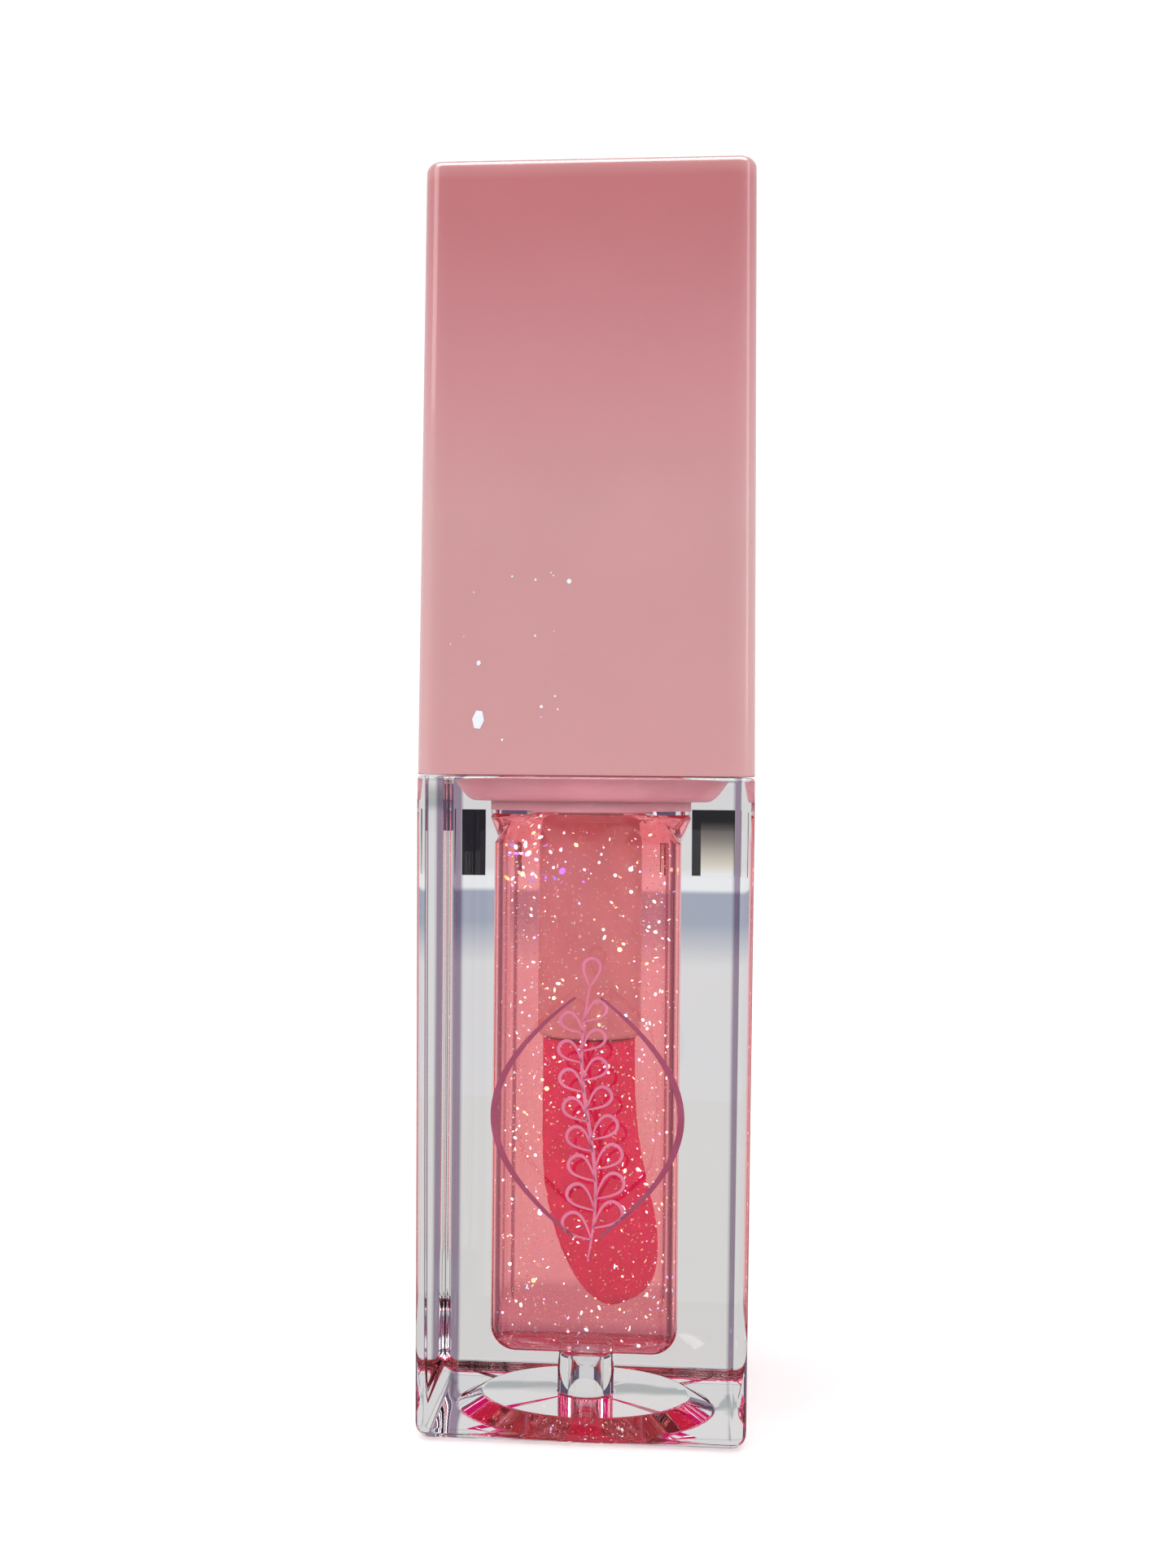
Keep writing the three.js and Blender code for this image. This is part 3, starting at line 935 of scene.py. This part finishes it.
# The gloss reddens what lies in it, so the film's own colours lean to green and blue.
FLAKE_COLOURS = [
    (0.70, 1.0, 0.86),
    (0.85, 0.95, 0.55),
    (0.65, 1.0, 0.95),
    (0.95, 0.75, 0.35),
    (0.50, 0.55, 1.0),
    (0.75, 1.0, 0.92),
    (0.30, 0.70, 1.0),
    (0.95, 0.80, 0.65),
]
CROWD_COLOURS = [
    (0.80, 0.85, 0.95),
    (0.95, 0.50, 0.12),
    (0.30, 0.16, 1.0),
    (0.85, 0.80, 0.90),
    (0.12, 0.16, 1.0),
    (0.90, 0.90, 0.90),
]


def glitter_look(name, colours, glow):
    """Film flakes: each takes one of the colours, catches light from all round, and glows in it with a
    painted sparkle of the given strength.
    """
    look, tree, shader = new_look(name)
    set_inputs(shader, Roughness=0.3, Specular_IOR_Level=0.8, Emission_Strength=glow)
    flake = tree.nodes.new("ShaderNodeNewGeometry")
    stops = [(i / len(colours), colour) for i, colour in enumerate(colours)]
    tint = ramp(tree, flake.outputs["Random Per Island"], stops)
    tint.node.color_ramp.interpolation = "CONSTANT"
    tree.links.new(tint, shader.inputs["Base Color"])
    # painted sparkle: the flakes glow in their own colour, though they are no lamps
    tree.links.new(tint, shader.inputs["Emission Color"])
    return look


def pink_cap():
    """Glossy milky pink, with painted shade that darkens it towards the top, a painted highlight along
    the top edge and painted light on its upright corners.
    """
    look, tree, shader = new_look("milky pink plastic")
    set_inputs(
        shader,
        Roughness=0.16,
        IOR=1.5,
        Coat_Weight=0.4,
        Coat_Roughness=0.04,
        Subsurface_Weight=0.35,
        Subsurface_Radius=(1.0, 0.45, 0.45),
        Subsurface_Scale=1.2 * MM,
    )
    # painted shade and highlight: lighter low down, darker towards the top, lighter again along the top
    # edge
    height = ramp(
        tree,
        height_share(tree, cap_low.z, cap_high.z),
        [
            (0.0, (0.52, 0.265, 0.275)),
            (0.43, (0.50, 0.26, 0.27)),
            (0.67, (0.475, 0.205, 0.225)),
            (0.91, (0.42, 0.145, 0.16)),
            (0.965, (0.42, 0.14, 0.155)),
            (1.0, (0.50, 0.25, 0.25)),
        ],
    )
    # painted light: a paler, cooler tone round the upright corners
    corner = corner_value(tree, JOINT_HALF, 1.8)
    painted_corner_shading = ramp(tree, corner, [(0.0, grey(0.82)), (1.0, (0.84, 0.92, 0.9))])
    cloud = ramp(tree, noise_value(tree, 90, 3.0), [(0.3, grey(1.19)), (0.7, grey(1.245))])
    tinted = multiplied(tree, multiplied(tree, height, cloud), painted_corner_shading)
    tree.links.new(tinted, shader.inputs["Base Color"])
    add_bump(tree, shader, noise_value(tree, 900, 2.0), 0.001)
    return look


def plain_look(name, low, high, roughness, scale=400, bump=0.01, **more):
    """A moulded or soft material whose colour wanders from low to high, with a fine bump."""
    look, tree, shader = new_look(name)
    set_inputs(shader, Roughness=roughness, **more)
    tint = ramp(tree, noise_value(tree, scale, 4.0), [(0.3, low), (0.7, high)])
    tree.links.new(tint, shader.inputs["Base Color"])
    add_bump(tree, shader, noise_value(tree, scale * 6, 3.0), bump)
    return look


def flock_look():
    return plain_look(
        "hot pink flock",
        (0.68, 0.0, 0.11),
        (0.80, 0.004, 0.16),
        roughness=0.95,
        scale=900,
        bump=0.06,
        Specular_IOR_Level=0.0,
        Sheen_Weight=0.01,
        Sheen_Roughness=0.5,
        Sheen_Tint=(1.0, 0.5, 0.6, 1),
    )


def stem_look():
    return plain_look(
        "pink stem plastic",
        (0.66, 0.41, 0.42),
        (0.72, 0.46, 0.47),
        roughness=0.3,
        Subsurface_Weight=0.4,
        Subsurface_Scale=1.5 * MM,
    )


# ---------- The object ----------

clear = clear_plastic()
pink_gloss = gloss_fill()
milky = plain_look("pink wiper plastic", (0.74, 0.26, 0.31), (0.80, 0.31, 0.36), 0.35)
foam = plain_look("white foam", (0.78, 0.76, 0.74), (0.88, 0.86, 0.84), 0.9, 900, 0.05)
stem_pink = stem_look()
insert_pink = plain_look("pink insert plastic", (0.62, 0.20, 0.25), (0.70, 0.25, 0.30), 0.35)
film_pink = plain_look("dried pink gloss", (0.94, 0.37, 0.44), (0.99, 0.43, 0.50), 0.4)
core_pink = plain_look("soft pink core", (0.62, 0.03, 0.10), (0.72, 0.05, 0.14), 0.6)
flock = flock_look()
cap_pink = pink_cap()
print_rose = plain_look("dark rose ink", (0.25, 0.03, 0.08), (0.32, 0.05, 0.11), 0.6)
print_pale = plain_look("pale pink ink", (0.52, 0.12, 0.22), (0.60, 0.16, 0.27), 0.6)
fleck_white = plain_look("pale fleck", (0.62, 0.64, 0.72), (0.76, 0.78, 0.84), 0.3)
# the glitter's glow is painted sparkle
glitter_film = glitter_look("glitter film", FLAKE_COLOURS[:4], 0.12)
sparkle_film = glitter_look("sparkling film", FLAKE_COLOURS, 3.0)
crowd_film = glitter_look("rainbow film", CROWD_COLOURS, 2.0)

add_piece("clear_bottle", bottle_shape(), clear, "bottle", "bottle")
add_piece("gloss_fill", gloss_shape(), pink_gloss, "bottle", "gloss")
add_piece("dish_film", dish_film_shape(), film_pink, "bottle")
add_piece("neck_wiper", wiper_shape(), milky, "bottle", "wiper")
add_piece("foam_washer", washer_shape(), foam, "washer", "seal_washer")
add_piece("stem", stem_shape(), stem_pink, "stem", "wand_stem")
add_piece("paddle_flock", flock_shape(), flock, "cap", "applicator_flock")
add_piece("threaded_insert", inner_cap_shape(), insert_pink, "cap", "inner_cap")
add_piece("cap_shell", outer_cap_shape(), cap_pink, "cap", "outer_cap")
fine = glitter_shape(4000, 0.03, 0.10, 11, sides=4)
bright = glitter_shape(560, 0.05, 0.17, 23)
crowd = glitter_shape(38, 0.10, 0.26, 37, low=gloss_high.z - CROWD_DROP, crowd=0.85)
add_piece("fine_glitter", fine, glitter_film, "bottle", smooth=False)
add_piece("bright_glitter", bright, sparkle_film, "bottle", smooth=False)
add_piece("crowded_glitter", crowd, crowd_film, "bottle", smooth=False)
add_piece("petal_frame", petal_frame_shape(), print_rose, "bottle", smooth=False)
add_piece("sprig", sprig_shape(), print_pale, "bottle", smooth=False)
add_piece("cap_flecks", cap_flecks_shape(), fleck_white, "cap", smooth=False)
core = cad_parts["applicator_core"]
core.material_slots[0].material = core_pink

# ---------- Stage, light and camera ----------

PAPER_WHITE = 1.12  # the studio, seen past the tube
FRONT_MIRROR = 0.14  # what the outside mirrors in front of the tube
SIDE_MIRROR = 0.9  # and beside it
THROUGH_GREY = (0.725, 0.725, 0.74)  # the room, seen through the clear plastic
THROUGH_FLOOR = (0.73, 0.715, 0.70)
INSIDE_LIGHT = 4.3  # the light that falls on what is inside the plastic
EDGE_MAUVE = (0.11, 0.08, 0.14)
HOT_PINK = (0.62, 0.0, 0.14)
GLINT = (1.6, 1.5, 1.35)
LAMP_SCALE = 28.0  # of the noise that scatters a few lamps over the sky

CARD_TOP = 60.0
CARD_FAR = END_HALF + 85
CARD_BLACK = (0.012, 0.012, 0.016)
SWEEP_GREY = (0.755, 0.735, 0.74)
RECESS_GREY = (0.46, 0.48, 0.48)
RECESS_PALE = (0.80, 0.78, 0.77)

LIGHT_AIM_Z = 40.0
CAMERA_AWAY = 85.0
CAMERA_SIDE = 6.0
CAMERA_LEVEL = SHOULDER_Z - 0.44
CAMERA_AIM_X = 0.24
CAMERA_LENS = 32.8
CAMERA_ROLL = math.radians(0.5)


def emitter(tree, colour=None):
    """Makes the whole look an even glow, of a colour socket if one is given."""
    glow = tree.nodes.new("ShaderNodeEmission")
    if colour:
        tree.links.new(colour, glow.inputs["Color"])
    tree.links.new(glow.outputs["Emission"], tree.nodes["Material Output"].inputs["Surface"])
    return glow


def add_quad(name, corners, look):
    mesh = bpy.data.meshes.new(name)
    mesh.from_pydata([Vector(corner) * MM for corner in corners], [], [(0, 1, 2, 3)])
    mesh.materials.append(look)
    quad = bpy.data.objects.new(name, mesh)
    bpy.context.scene.collection.objects.link(quad)
    return quad


def add_floor():
    """White paper. Seen through the clear plastic or mirrored by it, it is an even grey."""
    size, drop = 3000, -0.05  # the base doesn't share its plane with the floor
    look, tree, shader = new_look("pale paper")
    set_inputs(shader, Roughness=0.9)
    tint = ramp(tree, noise_value(tree, 40, 2.0), [(0.3, grey(0.94)), (0.7, grey(0.96))])
    tree.links.new(tint, shader.inputs["Base Color"])
    path = tree.nodes.new("ShaderNodeLightPath")
    through, mirrored = path.outputs["Is Transmission Ray"], path.outputs["Is Glossy Ray"]
    even = emitter(tree, mixed(tree, through, grey(FRONT_MIRROR), THROUGH_FLOOR))
    either = tree.nodes.new("ShaderNodeMixShader")
    tree.links.new(math_value(tree, "MAXIMUM", through, mirrored), either.inputs["Fac"])
    tree.links.new(shader.outputs["BSDF"], either.inputs[1])
    tree.links.new(even.outputs["Emission"], either.inputs[2])
    tree.links.new(either.outputs["Shader"], tree.nodes["Material Output"].inputs["Surface"])
    floor = add_quad(
        "floor",
        [(-size, -size, drop), (size, -size, drop), (size, size, drop), (-size, size, drop)],
        look,
    )


def world_through_plastic(tree, path):
    """What rays that come out of the clear plastic see. Straight ones see the grey of a room.
    Those that were reflected inside see a dark front, mauve sides, and hot pink with a few lamps
    above. What is inside the plastic is lit brightly."""
    ray = coordinates(tree, "Generated")
    reflected = math_value(tree, "GREATER_THAN", path.outputs["Glossy Depth"], 0.5)

    def reflected_and(operation, value, limit):
        passes = math_value(tree, operation, value, limit)
        return math_value(tree, "MULTIPLY", passes, reflected)

    in_front = reflected_and("LESS_THAN", ray["Y"], -0.3)
    beside = reflected_and("GREATER_THAN", math_value(tree, "ABSOLUTE", ray["X"]), 0.35)
    above = reflected_and("GREATER_THAN", ray["Z"], 0.5)
    lit_inside = math_value(tree, "GREATER_THAN", path.outputs["Diffuse Depth"], 0.5)
    place = tree.nodes.new("ShaderNodeTexCoord")
    lamps = tree.nodes.new("ShaderNodeTexNoise")
    set_inputs(lamps, Scale=LAMP_SCALE)
    tree.links.new(place.outputs["Generated"], lamps.inputs["Vector"])
    glints = ramp(tree, lamps.outputs["Fac"], [(0.61, HOT_PINK), (0.64, GLINT)])
    colour = mixed(tree, in_front, THROUGH_GREY, grey(FRONT_MIRROR))
    colour = mixed(tree, beside, colour, EDGE_MAUVE)
    colour = mixed(tree, above, colour, glints)
    return mixed(tree, lit_inside, colour, grey(INSIDE_LIGHT))


def add_world():
    """White all round. Outer surfaces mirror a dim front and bright sides."""
    world = bpy.data.worlds.new("white studio")
    bpy.context.scene.world = world
    world.use_nodes = True
    tree = world.node_tree
    path = tree.nodes.new("ShaderNodeLightPath")
    from_front = math_value(tree, "MULTIPLY_ADD", coordinates(tree, "Generated")["Y"], 0.5, 0.5)
    mirrored = ramp(tree, from_front, [(0.03, grey(FRONT_MIRROR)), (0.25, grey(SIDE_MIRROR))])
    outside = mixed(tree, path.outputs["Is Glossy Ray"], grey(PAPER_WHITE), mirrored)
    through = world_through_plastic(tree, path)
    seen = mixed(tree, path.outputs["Is Transmission Ray"], outside, through)
    tree.links.new(seen, tree.nodes["Background"].inputs["Color"])


def height_stops(*stops):
    """Stops up a card, from pairs of (height in millimetres, colour)."""
    return [(height / CARD_TOP, colour) for height, colour in stops]


def add_card(name, low, high, away, *stops):
    """An upright card behind the tube that is seen only through the clear plastic. Its colour
    follows its height through the stops. The base's recess mirrors it in greys."""
    look, tree, _ = new_look(name)
    share = height_share(tree, 0, CARD_TOP)
    colour = ramp(tree, share, height_stops(*stops))
    path = tree.nodes.new("ShaderNodeLightPath")
    reflected = math_value(tree, "GREATER_THAN", path.outputs["Glossy Depth"], 0.5)
    recess = height_stops(
        (36.5, SWEEP_GREY), (37.5, RECESS_GREY), (39.0, RECESS_GREY), (40.6, RECESS_PALE)
    )
    emitter(tree, mixed(tree, reflected, colour, ramp(tree, share, recess)))
    (left, bottom), (right, top) = low, high
    card = add_quad(
        name,
        [(left, away, bottom), (right, away, bottom), (right, away, top), (left, away, top)],
        look,
    )
    card.visible_camera = False
    card.visible_diffuse = False
    card.visible_glossy = False
    card.visible_shadow = False


def add_cards():
    """What stands behind the tube: a grey sweep with a blue-grey strip, and dark shapes beside it."""
    strip, white, cream = (0.38, 0.41, 0.50), (0.89, 0.89, 0.91), (0.72, 0.66, 0.56)
    add_card(
        "sweep",
        (-60, 0),
        (60, CARD_TOP),
        CARD_FAR,
        (0, SWEEP_GREY),
        (17, SWEEP_GREY),
        (22.5, strip),
        (26.3, strip),
        (26.8, white),
        (28.2, white),
        (29.5, SWEEP_GREY),
    )
    all_black = (0, CARD_BLACK), (CARD_TOP, CARD_BLACK)
    add_card("dark block", (-22.9, 28.4), (-19.4, 36.8), CARD_FAR - 1, *all_black)
    add_card(
        "doorway",
        (7.0, 28.7),
        (14.6, 37.0),
        CARD_FAR - 1,
        (28.7, white),
        (30.0, cream),
        (33.0, (0.25, 0.22, 0.2)),
        (35.5, CARD_BLACK),
    )
    for left, right in ((7.0, 8.1), (12.2, 15.0)):
        add_card("door frame", (left, 28.7), (right, 37.0), CARD_FAR - 2, *all_black)


def add_reflector(name, middle, width, height, strength):
    """A bright panel that faces the tube and is seen only in its reflections."""
    look, tree, _ = new_look(name)
    set_inputs(emitter(tree), Strength=strength)
    half, tall = width / 2, height / 2
    panel = add_quad(
        name, [(-half, -tall, 0), (half, -tall, 0), (half, tall, 0), (-half, tall, 0)], look
    )
    panel.location = Vector(middle) * MM
    towards = Vector((0, 0, SHOULDER_Z)) - Vector(middle)
    panel.rotation_euler = towards.to_track_quat("Z", "Y").to_euler()
    panel.visible_camera = False
    panel.visible_diffuse = False
    panel.visible_transmission = False
    panel.visible_shadow = False


def add_light(name, middle, width, height, power):
    """A rectangular lamp that faces the tube about where cap and bottle meet."""
    lamp = bpy.data.lights.new(name, "AREA")
    lamp.shape = "RECTANGLE"
    lamp.size, lamp.size_y = width * MM, height * MM
    lamp.energy = power
    holder = bpy.data.objects.new(name, lamp)
    holder.location = Vector(middle) * MM
    towards = Vector((0, 0, LIGHT_AIM_Z)) - Vector(middle)
    holder.rotation_euler = towards.to_track_quat("-Z", "Y").to_euler()
    bpy.context.scene.collection.objects.link(holder)


def add_camera():
    """Level with the joint, close in front and a little to the right, turned towards the tube."""
    data = bpy.data.cameras.new("camera")
    data.lens = CAMERA_LENS
    data.clip_start = 5 * MM
    camera = bpy.data.objects.new("camera", data)
    eye = Vector((CAMERA_SIDE, -JOINT_HALF - CAMERA_AWAY, CAMERA_LEVEL)) * MM
    aim = Vector((CAMERA_AIM_X, -JOINT_HALF, CAMERA_LEVEL)) * MM
    towards = (aim - eye).to_track_quat("-Z", "Y").to_matrix().to_4x4()
    camera.location = eye
    camera.rotation_euler = (towards @ Matrix.Rotation(CAMERA_ROLL, 4, "Z")).to_euler()
    bpy.context.scene.collection.objects.link(camera)
    bpy.context.scene.camera = camera


add_floor()
add_world()
add_cards()
add_reflector("overhead panel", (0, -60, 300), 300, 160, 9.0)
add_light("softbox left", (-250, -250, 300), 200, 300, 0.5)
add_light("softbox right", (300, -150, 200), 100, 300, 0.2)
add_camera()

scene = bpy.context.scene
scene.view_settings.view_transform = "Standard"
scene.cycles.max_bounces = 24
scene.cycles.transmission_bounces = 24
scene.cycles.transparent_max_bounces = 16
